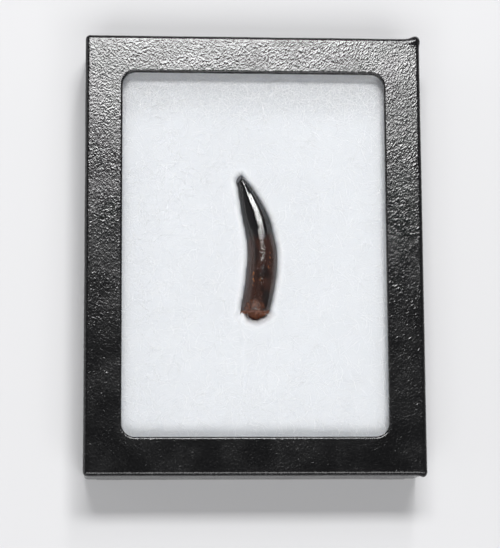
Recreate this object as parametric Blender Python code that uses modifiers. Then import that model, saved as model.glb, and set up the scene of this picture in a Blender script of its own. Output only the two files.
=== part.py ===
"""A fossil crocodilian tooth on white batting in a black paper-covered display case with a glass window.

Row frame: metres, +X across the case, +Y up the case as it is looked at, +Z out of the window. The
case lies on its back, and the origin is the middle of the back at the bottom of the whole part.
"""

import math

import bmesh
import bpy
import numpy as np
from mathutils import Matrix

MM = 0.001

# Case: a lid that slips over a tray
CASE_WIDTH = 82.5 * MM
CASE_LENGTH = 108.0 * MM
CASE_DEPTH = 19.0 * MM
LID_BOARD = 1.4 * MM
TRAY_BOARD = 1.2 * MM
LID_RIM_LIFT = 0.3 * MM
SLIP_GAP = 0.4 * MM
TOUCH_GAP = 0.3 * MM

# Rounding of the paper-covered board
LID_CORNER = 1.1 * MM
LID_ROLL = 1.0 * MM
LID_FOLD = 0.55 * MM
TRAY_CORNER = 0.9 * MM
TRAY_FOLD = 0.35 * MM
CORNER_SEGMENTS = 5
FOLD_SEGMENTS = 3
SHARP_ANGLE = math.radians(60)
LEAST_UPRIGHT = 1.0 * MM

# Window
WINDOW_WIDTH = 64.3 * MM
WINDOW_LENGTH = 89.3 * MM
WINDOW_CORNER = 3.3 * MM
WINDOW_CORNER_SEGMENTS = 8
GLASS_THICKNESS = 2.0 * MM
GLASS_CHAMFER = 0.25 * MM
GLASS_CLEARNESS = 0.7

# Levels, worked down from the lid's face
LID_FACE_UNDERSIDE = CASE_DEPTH - LID_BOARD
GLASS_TOP = LID_FACE_UNDERSIDE - TOUCH_GAP
GLASS_UNDERSIDE = GLASS_TOP - GLASS_THICKNESS
TRAY_RIM = GLASS_UNDERSIDE - TOUCH_GAP
TRAY_WIDTH = CASE_WIDTH - 2 * (LID_BOARD + SLIP_GAP)
TRAY_LENGTH = CASE_LENGTH - 2 * (LID_BOARD + SLIP_GAP)

# Batting: a pad that fills the tray and swells towards the glass
PAD_WIDTH = TRAY_WIDTH - 2 * (TRAY_BOARD + TOUCH_GAP)
PAD_LENGTH = TRAY_LENGTH - 2 * (TRAY_BOARD + TOUCH_GAP)
PAD_BOTTOM = TRAY_BOARD + TOUCH_GAP
PAD_BELOW_GLASS = 0.9 * MM
PAD_CROWN = GLASS_UNDERSIDE - PAD_BELOW_GLASS
PAD_EDGE_FALL = 3.2 * MM
PAD_FLATNESS = 4
PAD_DENT = 1.7 * MM
PAD_DENT_REACH = 9.0 * MM
PAD_COLUMNS = 22
PAD_ROWS = 30

# Tooth: widths seen through the window, from the tip to the broken root, in millimetres.
# Each station is (place along Y, left edge, right edge, half thickness along Z).
TOOTH_STATIONS = (
    (20.15, -3.15, -2.90, 0.20),
    (19.5, -3.80, -2.28, 0.75),
    (18.8, -4.06, -1.72, 1.10),
    (17.1, -3.76, -0.40, 1.65),
    (13.1, -3.20, 2.13, 2.60),
    (9.1, -2.58, 4.06, 3.12),
    (5.1, -1.78, 5.05, 3.38),
    (1.1, -1.45, 5.86, 3.50),
    (-3.9, -1.74, 5.74, 3.48),
    (-8.9, -2.40, 5.02, 3.36),
    (-13.1, -3.18, 4.10, 3.18),
)
TOOTH_TIP = TOOTH_STATIONS[0][0] * MM
TOOTH_ROOT = TOOTH_STATIONS[-1][0] * MM
TOOTH_AXIS_HEIGHT = 11.35 * MM
TIP_DROP = 0.5 * MM
TIP_CROWDING = 1.35
TOOTH_RINGS = 34
TOOTH_SIDES = 36

# Crown: a keel down each face, and the enamel's edge that stands proud of the root
KEEL_HEIGHT = 0.10 * MM
KEEL_ANGLES = (math.radians(90), math.radians(270))
KEEL_HALF_ANGLE = math.radians(14)
KEEL_START = 1.5 * MM
ENAMEL_STEP = 0.12 * MM
ENAMEL_EDGE = 5.0 * MM
ENAMEL_EDGE_SLANT = 0.7 * MM
ENAMEL_EDGE_LENGTH = 0.7 * MM

# Broken root: a slanting ragged rim round a shallow hollow, with one spur left standing by a notch
BREAK_REACH = 1.45 * MM
BREAK_SLANT = 0.75 * MM
BREAK_SIDES = 0.9 * MM
BREAK_RAGGED = 0.13 * MM
HOLLOW_DEPTH = 1.4 * MM
SPUR_LENGTH = 0.75 * MM
SPUR_HALF_ANGLE = math.radians(22)
SPUR_FLARE = 0.06
NOTCH_DEPTH = 1.15 * MM
NOTCH_ANGLE = math.radians(223)
NOTCH_HALF_ANGLE = math.radians(17)

# Waves of the ragged rim: (waves round it, phase in radians, share of the height)
BREAK_WAVES = ((5, 0.6, 1.0), (9, 2.0, 0.6))

# Rings round the rim and into the hollow: (share of the reach, size of the section, share of the depth)
BREAK_STEPS = (
    (0.35, 0.99, 0.0),
    (0.70, 0.955, 0.0),
    (0.92, 0.90, 0.0),
    (1.00, 0.82, 0.0),
    (0.97, 0.70, 0.25),
    (0.90, 0.45, 0.8),
    (0.88, 0.20, 1.0),
)

# Pocket that the batting keeps round the tooth
POCKET_CLEARANCE = 0.35 * MM
POCKET_SIDES = 12
POCKET_RINGS = 14
CUTTER_OVERSHOOT = 2.0 * MM


def clear_scene():
    for obj in list(bpy.data.objects):
        bpy.data.objects.remove(obj, do_unlink=True)


def new_collection(name):
    collection = bpy.data.collections.new(name)
    bpy.context.scene.collection.children.link(collection)
    return collection


def finish(name, colour, roughness, transmission=0.0):
    """A plain finish: colour, roughness and, for the pane, light passing through."""
    material = bpy.data.materials.new(name)
    material.use_nodes = True
    shader = material.node_tree.nodes["Principled BSDF"]
    shader.inputs["Base Color"].default_value = (*colour, 1.0)
    shader.inputs["Roughness"].default_value = roughness
    shader.inputs["Metallic"].default_value = 0.0
    shader.inputs["Transmission Weight"].default_value = transmission
    material.diffuse_color = (*colour, 1.0 - GLASS_CLEARNESS * transmission)
    return material


def place(obj, name, collection):
    """Names an object and its mesh, and moves it into its collection."""
    obj.name = name
    obj.data.name = name
    for other in list(obj.users_collection):
        other.objects.unlink(obj)
    collection.objects.link(obj)
    return obj


def block(name, size, bottom, collection):
    """A block centred on the Z axis, standing at the height bottom."""
    width, length, height = size
    bpy.ops.mesh.primitive_cube_add(size=1)
    obj = place(bpy.context.object, name, collection)
    obj.data.transform(Matrix.Diagonal((width, length, height, 1)))
    obj.data.transform(Matrix.Translation((0, 0, bottom + height / 2)))
    return obj


def as_cutter(obj):
    obj.hide_render = True
    obj.display_type = "WIRE"
    return obj


def round_edges(obj, upright, top, bottom, segments):
    """Rounds a block's upright, top and bottom edges, each by its own radius."""
    largest = max(upright, top, bottom)
    middle = sum(v.co.z for v in obj.data.vertices) / len(obj.data.vertices)
    weights = obj.data.attributes.new("bevel_weight_edge", "FLOAT", "EDGE")
    for edge in obj.data.edges:
        first, second = (obj.data.vertices[i].co for i in edge.vertices)
        if abs(first.z - second.z) > LEAST_UPRIGHT:
            radius = upright
        elif first.z > middle:
            radius = top
        else:
            radius = bottom
        weights.data[edge.index].value = radius / largest
    bevel = obj.modifiers.new("rounded edges", "BEVEL")
    bevel.limit_method = "WEIGHT"
    bevel.width = largest
    bevel.segments = segments


def cut(obj, cutter, name):
    boolean = obj.modifiers.new(name, "BOOLEAN")
    boolean.operation = "DIFFERENCE"
    boolean.object = cutter


def fold_sharp_edges(obj, radius):
    """Rounds what is still sharp, as paper folded over a board's edge does."""
    bevel = obj.modifiers.new("folded edges", "BEVEL")
    bevel.limit_method = "ANGLE"
    bevel.angle_limit = SHARP_ANGLE
    bevel.width = radius
    bevel.segments = FOLD_SEGMENTS


def make_lid(parts, cutters):
    height = CASE_DEPTH - LID_RIM_LIFT
    lid = block("lid", (CASE_WIDTH, CASE_LENGTH, height), LID_RIM_LIFT, parts)
    round_edges(lid, LID_CORNER, LID_ROLL, 0.0, CORNER_SEGMENTS)
    inside = (CASE_WIDTH - 2 * LID_BOARD, CASE_LENGTH - 2 * LID_BOARD, LID_FACE_UNDERSIDE + CUTTER_OVERSHOOT)
    hollow = as_cutter(block("lid_hollow", inside, -CUTTER_OVERSHOOT, cutters))
    opening = (WINDOW_WIDTH, WINDOW_LENGTH, LID_BOARD + 2 * CUTTER_OVERSHOOT)
    window = block("window_opening", opening, LID_FACE_UNDERSIDE - CUTTER_OVERSHOOT, cutters)
    round_edges(as_cutter(window), WINDOW_CORNER, 0.0, 0.0, WINDOW_CORNER_SEGMENTS)
    cut(lid, hollow, "hollow under the face")
    cut(lid, window, "window")
    fold_sharp_edges(lid, LID_FOLD)
    return lid


def make_base_tray(parts, cutters):
    tray = block("base_tray", (TRAY_WIDTH, TRAY_LENGTH, TRAY_RIM), 0.0, parts)
    round_edges(tray, TRAY_CORNER, 0.0, TRAY_FOLD, CORNER_SEGMENTS)
    inside = (TRAY_WIDTH - 2 * TRAY_BOARD, TRAY_LENGTH - 2 * TRAY_BOARD, TRAY_RIM + CUTTER_OVERSHOOT)
    hollow = as_cutter(block("tray_hollow", inside, TRAY_BOARD, cutters))
    cut(tray, hollow, "hollow")
    fold_sharp_edges(tray, TRAY_FOLD)
    return tray


def make_glass(parts):
    border = LID_BOARD + TOUCH_GAP
    size = (CASE_WIDTH - 2 * border, CASE_LENGTH - 2 * border, GLASS_THICKNESS)
    glass = block("glass", size, GLASS_UNDERSIDE, parts)
    round_edges(glass, GLASS_CHAMFER, GLASS_CHAMFER, GLASS_CHAMFER, 1)
    return glass


def between(stations, at):
    """The smooth curve through the stations' other columns, read at a place in the first column."""
    table = np.array(stations)
    along, values = table[:, 0], table[:, 1:]
    slopes = np.gradient(values, along, axis=0)
    step = int(np.clip(np.sum(along >= at) - 1, 0, len(along) - 2))
    length = along[step + 1] - along[step]
    t = (at - along[step]) / length
    start, end = values[step], values[step + 1]
    leave, arrive = slopes[step] * length, slopes[step + 1] * length
    ease = t * t * (3 - 2 * t)
    return start + (end - start) * ease + leave * t * (1 - t) ** 2 - arrive * t * t * (1 - t)


def tooth_section(along):
    """Centre, half width and half thickness of the tooth at a place along Y, all in metres."""
    left, right, thickness = between(TOOTH_STATIONS, along / MM) * MM
    drop = TIP_DROP * ((along - TOOTH_ROOT) / (TOOTH_TIP - TOOTH_ROOT)) ** 3
    return (left + right) / 2, TOOTH_AXIS_HEIGHT - drop, (right - left) / 2, thickness


def bell(angle, centre, half_width):
    """1 at the centre angle, falling smoothly to nothing on both sides."""
    apart = math.remainder(angle - centre, 2 * math.pi)
    return math.exp(-((apart / half_width) ** 2))


def crown_share(along, angle):
    """1 on the enamel, 0 on the root, with a short slope between them; the edge runs a little aslant."""
    edge = ENAMEL_EDGE + ENAMEL_EDGE_SLANT * math.cos(angle)
    return min(max((along - edge) / ENAMEL_EDGE_LENGTH + 0.5, 0.0), 1.0)


def tooth_ring(along, angles):
    """The outline of the tooth across Y: an oval with a keel on each face of the crown."""
    middle, height, half_width, half_thickness = tooth_section(along)
    fade = min(half_width / KEEL_START, 1.0)
    ring = []
    for angle in angles:
        keel = sum(bell(angle, ridge, KEEL_HALF_ANGLE) for ridge in KEEL_ANGLES)
        crown = crown_share(along, angle)
        proud = fade * crown * keel * KEEL_HEIGHT - (1 - crown) * ENAMEL_STEP
        x = middle + (half_width + proud) * math.cos(angle)
        z = height + (half_thickness + proud) * math.sin(angle)
        ring.append((x, along, z))
    return ring


def break_edge(angle):
    """How far the broken rim reaches past the last station: more underneath, ragged, with spur and notch."""
    slant = -BREAK_SLANT * math.sin(angle)
    sides = -BREAK_SIDES * abs(math.cos(angle)) ** 3
    wave = sum(share * math.sin(waves * angle + phase) for waves, phase, share in BREAK_WAVES)
    spur = SPUR_LENGTH * bell(angle, math.pi, SPUR_HALF_ANGLE)
    notch = -NOTCH_DEPTH * bell(angle, NOTCH_ANGLE, NOTCH_HALF_ANGLE)
    return BREAK_REACH + slant + sides + BREAK_RAGGED * wave + spur + notch


def broken_end(angles):
    """Rings from the last whole section round the broken rim and into the shallow hollow."""
    middle, height, _, _ = tooth_section(TOOTH_ROOT)
    outer = tooth_ring(TOOTH_ROOT, angles)
    rings = []
    for share, size, sunk in BREAK_STEPS:
        ring = []
        for angle, (x, _, z) in zip(angles, outer):
            reach = break_edge(angle) * share - HOLLOW_DEPTH * sunk
            wide = size + SPUR_FLARE * share * bell(angle, math.pi, SPUR_HALF_ANGLE)
            ring.append((middle + (x - middle) * wide, TOOTH_ROOT - reach, height + (z - height) * wide))
        rings.append(ring)
    return rings


def loft(name, rings, collection):
    """A closed skin through rings of equally many points, with both ends filled."""
    mesh = bmesh.new()
    rows = [[mesh.verts.new(point) for point in ring] for ring in rings]
    for upper, lower in zip(rows, rows[1:]):
        for i in range(len(upper)):
            j = (i + 1) % len(upper)
            mesh.faces.new((upper[i], upper[j], lower[j], lower[i]))
    mesh.faces.new(rows[0])
    mesh.faces.new(rows[-1])
    bmesh.ops.recalc_face_normals(mesh, faces=mesh.faces)
    data = bpy.data.meshes.new(name)
    mesh.to_mesh(data)
    mesh.free()
    return place_new(name, data, collection)


def place_new(name, data, collection):
    obj = bpy.data.objects.new(name, data)
    collection.objects.link(obj)
    return obj


def tooth_places(count):
    """Places along Y from the tip to the last whole section, closer together near the tip."""
    shares = [(i / (count - 1)) ** TIP_CROWDING for i in range(count)]
    return [TOOTH_TIP + (TOOTH_ROOT - TOOTH_TIP) * share for share in shares]


def make_tooth(parts):
    angles = [2 * math.pi * i / TOOTH_SIDES for i in range(TOOTH_SIDES)]
    rings = [tooth_ring(along, angles) for along in tooth_places(TOOTH_RINGS)]
    tooth = loft("tooth", rings + broken_end(angles), parts)
    tooth.data.shade_smooth()
    return tooth


def make_tooth_pocket(cutters):
    """The tooth's lower half with a little room round it, and straight sides up to the pad's top."""
    angles = [math.pi * (1 + i / POCKET_SIDES) for i in range(POCKET_SIDES + 1)]
    bottom_end = TOOTH_ROOT - BREAK_REACH - BREAK_SLANT - POCKET_CLEARANCE
    places = [TOOTH_TIP + POCKET_CLEARANCE] + tooth_places(POCKET_RINGS) + [bottom_end]
    rings = []
    for along in places:
        nearest = min(max(along, TOOTH_ROOT), TOOTH_TIP)
        middle, height, half_width, half_thickness = tooth_section(nearest)
        width = half_width + POCKET_CLEARANCE
        depth = half_thickness + POCKET_CLEARANCE
        ring = [(middle + width * math.cos(a), along, height + depth * math.sin(a)) for a in angles]
        rings.append(ring + [(middle + width, along, GLASS_TOP), (middle - width, along, GLASS_TOP)])
    return as_cutter(loft("tooth_pocket", rings, cutters))


def pad_height(x, y):
    """The pad's top: nearly flat in the middle, falling at the sides, with a dent round the tooth."""
    across = abs(2 * x / PAD_WIDTH)
    down = abs(2 * y / PAD_LENGTH)
    swell = (1 - across**PAD_FLATNESS) * (1 - down**PAD_FLATNESS)
    along = min(max(y, TOOTH_ROOT), TOOTH_TIP)
    middle, _, half_width, _ = tooth_section(along)
    beside = max(abs(x - middle) - half_width, 0.0)
    away = math.hypot(beside, y - along)
    dent = PAD_DENT * math.exp(-((away / PAD_DENT_REACH) ** 2))
    return PAD_CROWN - PAD_EDGE_FALL * (1 - swell) - dent


def make_batting(parts, pocket):
    mesh = bmesh.new()
    bmesh.ops.create_grid(mesh, x_segments=PAD_COLUMNS, y_segments=PAD_ROWS, size=0.5)
    bmesh.ops.transform(mesh, matrix=Matrix.Diagonal((PAD_WIDTH, PAD_LENGTH, 1, 1)), verts=mesh.verts)
    top = list(mesh.faces)
    lower = bmesh.ops.extrude_face_region(mesh, geom=top)["geom"]
    under = {v for v in lower if isinstance(v, bmesh.types.BMVert)}
    for vert in mesh.verts:
        vert.co.z = PAD_BOTTOM if vert in under else pad_height(vert.co.x, vert.co.y)
    bottom = [f for f in mesh.faces if all(v in under for v in f.verts)]
    bmesh.ops.dissolve_faces(mesh, faces=bottom)
    bmesh.ops.recalc_face_normals(mesh, faces=mesh.faces)
    data = bpy.data.meshes.new("batting")
    mesh.to_mesh(data)
    mesh.free()
    batting = place_new("batting", data, parts)
    cut(batting, pocket, "pocket round the tooth")
    return batting


def main():
    clear_scene()
    parts = new_collection("tooth_in_display_case")
    cutters = new_collection("cutters")
    pieces = {
        make_lid(parts, cutters): finish("black_grained_paper", (0.012, 0.012, 0.013), 0.42),
        make_base_tray(parts, cutters): finish("black_plain_paper", (0.018, 0.018, 0.019), 0.55),
        make_glass(parts): finish("clear_glass", (0.95, 0.97, 0.96), 0.02, transmission=1.0),
        make_batting(parts, make_tooth_pocket(cutters)): finish("white_batting", (0.83, 0.84, 0.87), 0.9),
        make_tooth(parts): finish("dark_fossil_tooth", (0.055, 0.03, 0.024), 0.25),
    }
    for piece, material in pieces.items():
        piece.data.materials.append(material)
    cutters.hide_render = True


main()
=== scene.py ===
"""The looks of a fossil crocodilian tooth that lies on batting in a black paper-covered display case.

Row frame: metres, +X across the case, +Y up the case as it is looked at, +Z out of the glass. The
case lies on its back on a pale floor, and the camera looks down on it.
"""

import math

import bpy
import numpy as np
from bpy.props import FloatProperty, FloatVectorProperty, IntProperty, PointerProperty
from mathutils import Matrix, Vector, noise


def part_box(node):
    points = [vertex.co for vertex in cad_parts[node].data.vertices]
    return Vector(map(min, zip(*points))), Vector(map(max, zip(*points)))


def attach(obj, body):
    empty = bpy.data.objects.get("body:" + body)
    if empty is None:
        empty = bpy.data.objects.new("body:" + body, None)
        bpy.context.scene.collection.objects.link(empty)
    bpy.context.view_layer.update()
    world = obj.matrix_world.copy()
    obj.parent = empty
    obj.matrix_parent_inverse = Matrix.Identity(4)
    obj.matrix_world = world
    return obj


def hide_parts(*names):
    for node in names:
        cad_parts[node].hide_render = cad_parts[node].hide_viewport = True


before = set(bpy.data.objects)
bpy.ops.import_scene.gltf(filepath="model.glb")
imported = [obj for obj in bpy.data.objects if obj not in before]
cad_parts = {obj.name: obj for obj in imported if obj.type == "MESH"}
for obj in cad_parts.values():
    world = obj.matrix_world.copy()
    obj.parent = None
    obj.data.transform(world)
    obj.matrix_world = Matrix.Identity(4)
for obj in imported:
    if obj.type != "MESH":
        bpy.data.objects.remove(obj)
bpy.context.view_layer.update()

bl_info = {
    "name": "Fossil Tooth in a Display Case",
    "version": (1, 0, 0),
    "blender": (4, 5, 0),
    "location": "3D View > Sidebar > Display Case",
    "description": "Builds the paper-covered case, its pane, the batting and the fossil tooth",
    "category": "Object",
}

MM = 0.001
BODY = "root"
OUT = 2

# Places read from the frame
LID_LOW, LID_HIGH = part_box("lid")
PAD_LOW, PAD_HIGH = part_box("batting")
PANE_LOW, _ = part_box("glass")

# Tooth: (place along Y, left edge, right edge, half thickness), in mm. Its crown is a little thinner than
# the solid's, so that its ridge mirrors the light along its length.
TOOTH_STATIONS = (
    (20.15, -3.15, -2.90, 0.25),
    (19.5, -3.80, -2.28, 0.95),
    (18.8, -4.06, -1.72, 1.35),
    (17.1, -3.76, -0.40, 1.86),
    (13.1, -3.20, 2.13, 2.46),
    (9.1, -2.58, 4.06, 2.82),
    (5.1, -1.78, 5.05, 3.16),
    (1.1, -1.45, 5.86, 3.44),
    (-3.9, -1.74, 5.74, 3.54),
    (-8.9, -2.40, 5.02, 3.36),
    (-13.1, -3.18, 4.10, 3.18),
)
TOOTH_TIP = TOOTH_STATIONS[0][0] * MM
TOOTH_ROOT = TOOTH_STATIONS[-1][0] * MM
TOOTH_AXIS_HEIGHT = 11.35 * MM
TIP_DROP = 0.15 * MM
TIP_CROWDING = 1.35

# Crown: keels that stand proud and flat faces beside them, as (angle, half angle, height)
CROWN_FACES = (
    (math.radians(97), math.radians(7), 0.035 * MM),
    (math.radians(63), math.radians(12), 0.17 * MM),
    (math.radians(119), math.radians(17), -0.10 * MM),
    (math.radians(270), math.radians(14), 0.10 * MM),
)
KEEL_START = 2.8 * MM
ENAMEL_STEP = 0.05 * MM
ENAMEL_EDGE = 4.6 * MM
ENAMEL_EDGE_SLANT = 0.7 * MM
ENAMEL_EDGE_LENGTH = 5.0 * MM

# Tooth's surface: sizes of the streaks, patches, flecks and pits in its finish, and their greatest depth
STREAK_SIZE = 0.40 * MM
PATCH_SIZE = 1.5 * MM
FLECK_SIZE = 0.45 * MM
PIT_SIZE = 0.50 * MM
SURFACE_DEPTH = 0.03 * MM
CHIP_COLOUR = (0.10, 0.10, 0.11)
# Painted light: how much paler the broken hollow's brown is made, to lighten the shade inside it
HOLLOW_PAINTED_LIGHT = 1.9

# Tooth's relief: sizes of its furrows, shallow dents and crumbs, and how high the last two stand
FURROW_SIZE = (0.42 * MM, 5.0 * MM, 0.42 * MM)
DENT_SIZE = (2.2 * MM, 3.0 * MM, 2.2 * MM)
DENT_HEIGHT = 0.030 * MM
CRUMB_SIZE = 0.55 * MM
FINE_CRUMB_SIZE = 0.25 * MM
CRUMB_HEIGHT = 0.11 * MM

# Stains on the root's upper face, in mm: (across, along, half width, half length, strength)
AMBER_STAINS = (
    (3.95, -1.3, 0.20, 1.9, 1.0),
    (-0.16, -5.4, 0.25, 2.4, 1.0),
    (-0.15, -7.0, 0.40, 0.8, 0.8),
    (1.80, -6.0, 0.9, 0.6, 0.6),
    (3.60, -2.9, 0.25, 0.5, 0.9),
    (-0.9, -10.2, 0.5, 1.6, 0.35),
)
DARK_STAINS = (
    (2.80, -4.8, 1.3, 1.3, 1.0),
    (3.10, -10.8, 1.1, 2.2, 1.0),
    (0.6, -0.5, 0.7, 3.0, 0.7),
    (1.9, -8.3, 0.9, 0.9, 0.8),
)
RUST_START = -9.6 * MM
RUST_FULL = -12.6 * MM

# Broken root: rim, hollow, spur and notch
BREAK_REACH = 1.60 * MM
BREAK_SLANT = 0.75 * MM
BREAK_SIDES = 0.9 * MM
BREAK_RAGGED = 0.13 * MM
BREAK_WAVES = ((5, 3.1, 1.0), (9, 2.0, 0.6))
HOLLOW_DEPTH = 0.45 * MM
SPUR_LENGTH = 0.95 * MM
SPUR_HALF_ANGLE = math.radians(17)
SPUR_FLARE = 0.18
NOTCH_DEPTH = 1.25 * MM
NOTCH_ANGLE = math.radians(213)
NOTCH_HALF_ANGLE = math.radians(17)

# Rings round the rim and into the hollow: (share of the reach, size of the section, share of the depth)
BREAK_STEPS = (
    (0.0, 1.0, 0.0),
    (0.35, 0.99, 0.0),
    (0.70, 0.955, 0.0),
    (0.92, 0.90, 0.0),
    (1.00, 0.82, 0.0),
    (0.97, 0.70, 0.25),
    (0.90, 0.45, 0.8),
    (0.88, 0.20, 1.0),
)

# Chip off the tip: a point on its face, and the way that face looks
CHIP_POINT = (-3.62 * MM, 19.45 * MM, 11.1 * MM)
CHIP_FACING = (-0.72, 0.52, 0.46)

# Paper grain: streaks on two slants as (size, how far they are drawn out, turn), and each layer's share
GRAIN_RISING = (0.54 * MM, 2.2, math.radians(-30))
GRAIN_FALLING = (0.57 * MM, 1.8, math.radians(40))
GRAIN_PEBBLES = 0.32
GRAIN_STREAKS = 1.9
GRAIN_FINE = 0.05
TRAY_GRAIN = 1.25
TRAY_DULLNESS = 0.12

# Lid's relief: waves of the board, wrinkles on two slants as (size, turn, offset), and folded corners
WAVE_SIZE = (13 * MM, 13 * MM, 16 * MM)
WRINKLE_SLANTS = (
    ((2.6 * MM, 1.1 * MM, 1.6 * MM), math.radians(38), (0.0, 0.0, 0.0)),
    ((3.0 * MM, 1.3 * MM, 1.6 * MM), math.radians(-52), (0.05, 0.02, 0.0)),
)
CORNER_INSET = 0.9 * MM
UPPER_LUMP = {"height": 0.80 * MM, "radius": 1.4 * MM, "past_edge": 0.3 * MM, "below_top": 1.2 * MM}
LOWER_LUMP = {"height": 0.40 * MM, "radius": 0.9 * MM, "past_edge": 0.0, "below_top": 1.3 * MM}

# Batting's painted shade and light along Y: painted shade greys it in a band below the upper edge, and
# painted light whitens it at that edge and beside the tooth, where shade falls
PAINTED_SHADE_START = 31.5 * MM
PAINTED_SHADE_FULL = 41.5 * MM
PAINTED_SHADE_END = 43.0 * MM
PAINTED_LIGHT_START = 43.0 * MM
PAINTED_LIGHT_FULL = 44.4 * MM
PAINTED_LIGHT_BESIDE = 0.40
PAINTED_LIGHT_REACH = 2.2 * MM
CLOUDY_SHADE = 0.965
PAINTED_SHADE_SCALE = 0.83
PAINTED_LIGHT_SCALE = 1.28

# Batting's soft lumps: their sizes, and how far from the tooth they are whole
LUMP_SIZE = 11 * MM
SMALL_LUMP_SIZE = 4.2 * MM
LUMP_DISTANCE = 6 * MM

# Batting round the tooth: gap under it, brink beside it, and how that hangs below the broken end
BED_GAP = 0.08 * MM
BRINK_RISE = 0.6 * MM
BRINK_WIDTH = 1.2 * MM
BREAK_WIDENING = 0.9 * MM
BREAK_HANG = 0.45
BREAK_START = 0.3 * MM
BREAK_FULL = 1.8 * MM

# Batting's rim: how far in it is rounded, how much its top and its bottom give, and its sag at the sides
RIM_WIDTH = 1.2 * MM
RIM_FALL = 0.5 * MM
RIM_LIFT = 0.6 * MM
SIDE_ROUGHNESS = 0.35 * MM
SIDE_LEVELS = 8
SWELL_POWER = 12
PANE_GAP = 0.05 * MM

# Fibres: a strand's shape as (bend, rise, half its reach), all as shares of the fibre length
STRANDS = ((0.10, 0.02, 0.5), (0.24, 0.03, 0.45), (0.38, 0.04, 0.375), (0.02, 0.05, 0.625))

# Fibre nodes: the name and kind of each input
FIBRE_INPUTS = {
    "Geometry": "Geometry",
    "Length": "Float",
    "Thickness": "Float",
    "Density": "Float",
    "Seed": "Int",
}

# Fibres' places: strips down the case, how far they reach under the lid, and where there are fewer or none
FIBRE_STRIPS = 4
FIBRE_MARGIN = 2.5 * MM
SPARSE_SHARE = 0.16
UPPER_ZONE = (16 * MM, 7 * MM)
TOOTH_CLEARANCE = (0.6 * MM, 2.5 * MM)

# Lights: each panel's size and place, how far the key is to the right, and the heights between which the
# room turns from dark to pale
KEY_RIGHT = 0.005
UPPER_SIZE = (0.06, 0.34)
UPPER_PLACE = (0.08, 0.514, 0.613)
SIDE_SIZE = (0.9, 0.5)
SIDE_PLACE = (-0.92, 0.0, 0.27)
FRONT_SIZE = (0.9, 0.36)
FRONT_PLACE = (0.0, -0.45, 0.78)
ROOM_DARK = 0.90
ROOM_PALE = 0.68
ROOM_OVERHEAD = 0.02
FLOOR_SIZE = 4.0
FLOOR_GAP = 0.05 * MM

# Camera: where it stands and how it looks, solved from the photograph's outlines
CAMERA_PLACE = (-33.15 * MM, -76.82 * MM, 482.6 * MM)
CAMERA_FORWARD = (0.0679, 0.152, -0.9861)
CAMERA_UP = (-0.0045, 0.9884, 0.152)
PHOTO_LONG_SIDE = 548
FOCAL_PIXELS = 1942.93
SENSOR = 36.0


def length(name, description, default):
    """A property that holds a length."""
    return FloatProperty(name=name, description=description, default=default, unit="LENGTH")


def amount(name, description, default):
    """A property that holds a plain number from 0 up."""
    return FloatProperty(name=name, description=description, default=default, min=0.0)


def shade(name, description, default):
    """A property that holds a colour."""
    return FloatVectorProperty(name=name, description=description, default=default, subtype="COLOR")


class LidSizes(bpy.types.PropertyGroup):
    """Sizes of the covered lid."""

    board: length("Board", "Thickness of the covered board", 1.4 * MM)
    corner: length("Corner", "Radius of the upright corners", 1.1 * MM)
    roll: length("Roll", "Radius where the face turns into the wall", 1.0 * MM)
    fold: length("Fold", "Radius of the paper folded over an edge", 0.55 * MM)
    window_width: length("Window width", "Opening across the case", 64.3 * MM)
    window_length: length("Window length", "Opening along the case", 89.3 * MM)
    window_corner: length("Window corner", "Radius of the opening's corners", 3.3 * MM)
    waviness: length("Waviness", "Height of the board's slow waves", 0.045 * MM)
    wrinkle: length("Wrinkle", "Depth of the paper's wrinkles", 0.017 * MM)
    flap_step: length("Flap step", "Step where paper laps over paper", 0.10 * MM)


class PaperFinish(bpy.types.PropertyGroup):
    """Colour and grain of the paper over the board."""

    colour: shade("Colour", "Black of the paper", (0.0036, 0.0036, 0.004))
    worn: shade("Worn", "Where the black has rubbed thin", (0.03, 0.03, 0.032))
    grain: length("Grain", "Size of one pebble", 0.80 * MM)
    depth: length("Depth", "Depth of the grain", 0.032 * MM)
    roughness: amount("Roughness", "Dullness", 0.14)


class BattingSizes(bpy.types.PropertyGroup):
    """Shape of the pad and of its loose fibres."""

    fuzz: length("Fuzz", "Depth of the loose fibres over the pad", 0.30 * MM)
    edge_fall: length("Edge fall", "How far the top falls at the sides", 2.6 * MM)
    dent: length("Dent", "Depth of the dent round the tooth", 2.0 * MM)
    dent_reach: length("Dent reach", "How far the dent spreads", 12.0 * MM)
    lump: length("Lump", "Height of the soft lumps", 0.16 * MM)
    step: length("Step", "Spacing of the pad's points", 0.55 * MM)
    fibre_length: length("Fibre length", "Length of a loose fibre", 3.4 * MM)
    fibre_thickness: length("Fibre thickness", "Diameter of a loose fibre", 0.045 * MM)
    fibres_per_mm2: amount("Fibres", "Loose fibres on each square millimetre", 3.0)
    seed: IntProperty(name="Seed", description="Choice of the fibres' places", default=11)
    colour: shade("Colour", "White of the polyester", (0.655, 0.67, 0.695))


class ToothFinish(bpy.types.PropertyGroup):
    """Fineness, relief and colours of the fossil."""

    sides: IntProperty(name="Sides", description="Points round a section", default=192)
    rings: IntProperty(name="Rings", description="Sections from tip to root", default=230)
    striae: length("Striae", "Depth of the lengthwise furrows", 0.020 * MM)
    enamel: shade("Enamel", "Black of the crown", (0.006, 0.0055, 0.006))
    root: shade("Root", "Brown of the root", (0.031, 0.0130, 0.0094))
    dark: shade("Dark patches", "Mineral stain on the root", (0.009, 0.0055, 0.005))
    amber: shade("Amber", "Streaks and flecks on the root", (0.22, 0.080, 0.020))
    broken: shade("Broken end", "Rusty inside of the root", (0.100, 0.032, 0.013))


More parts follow.
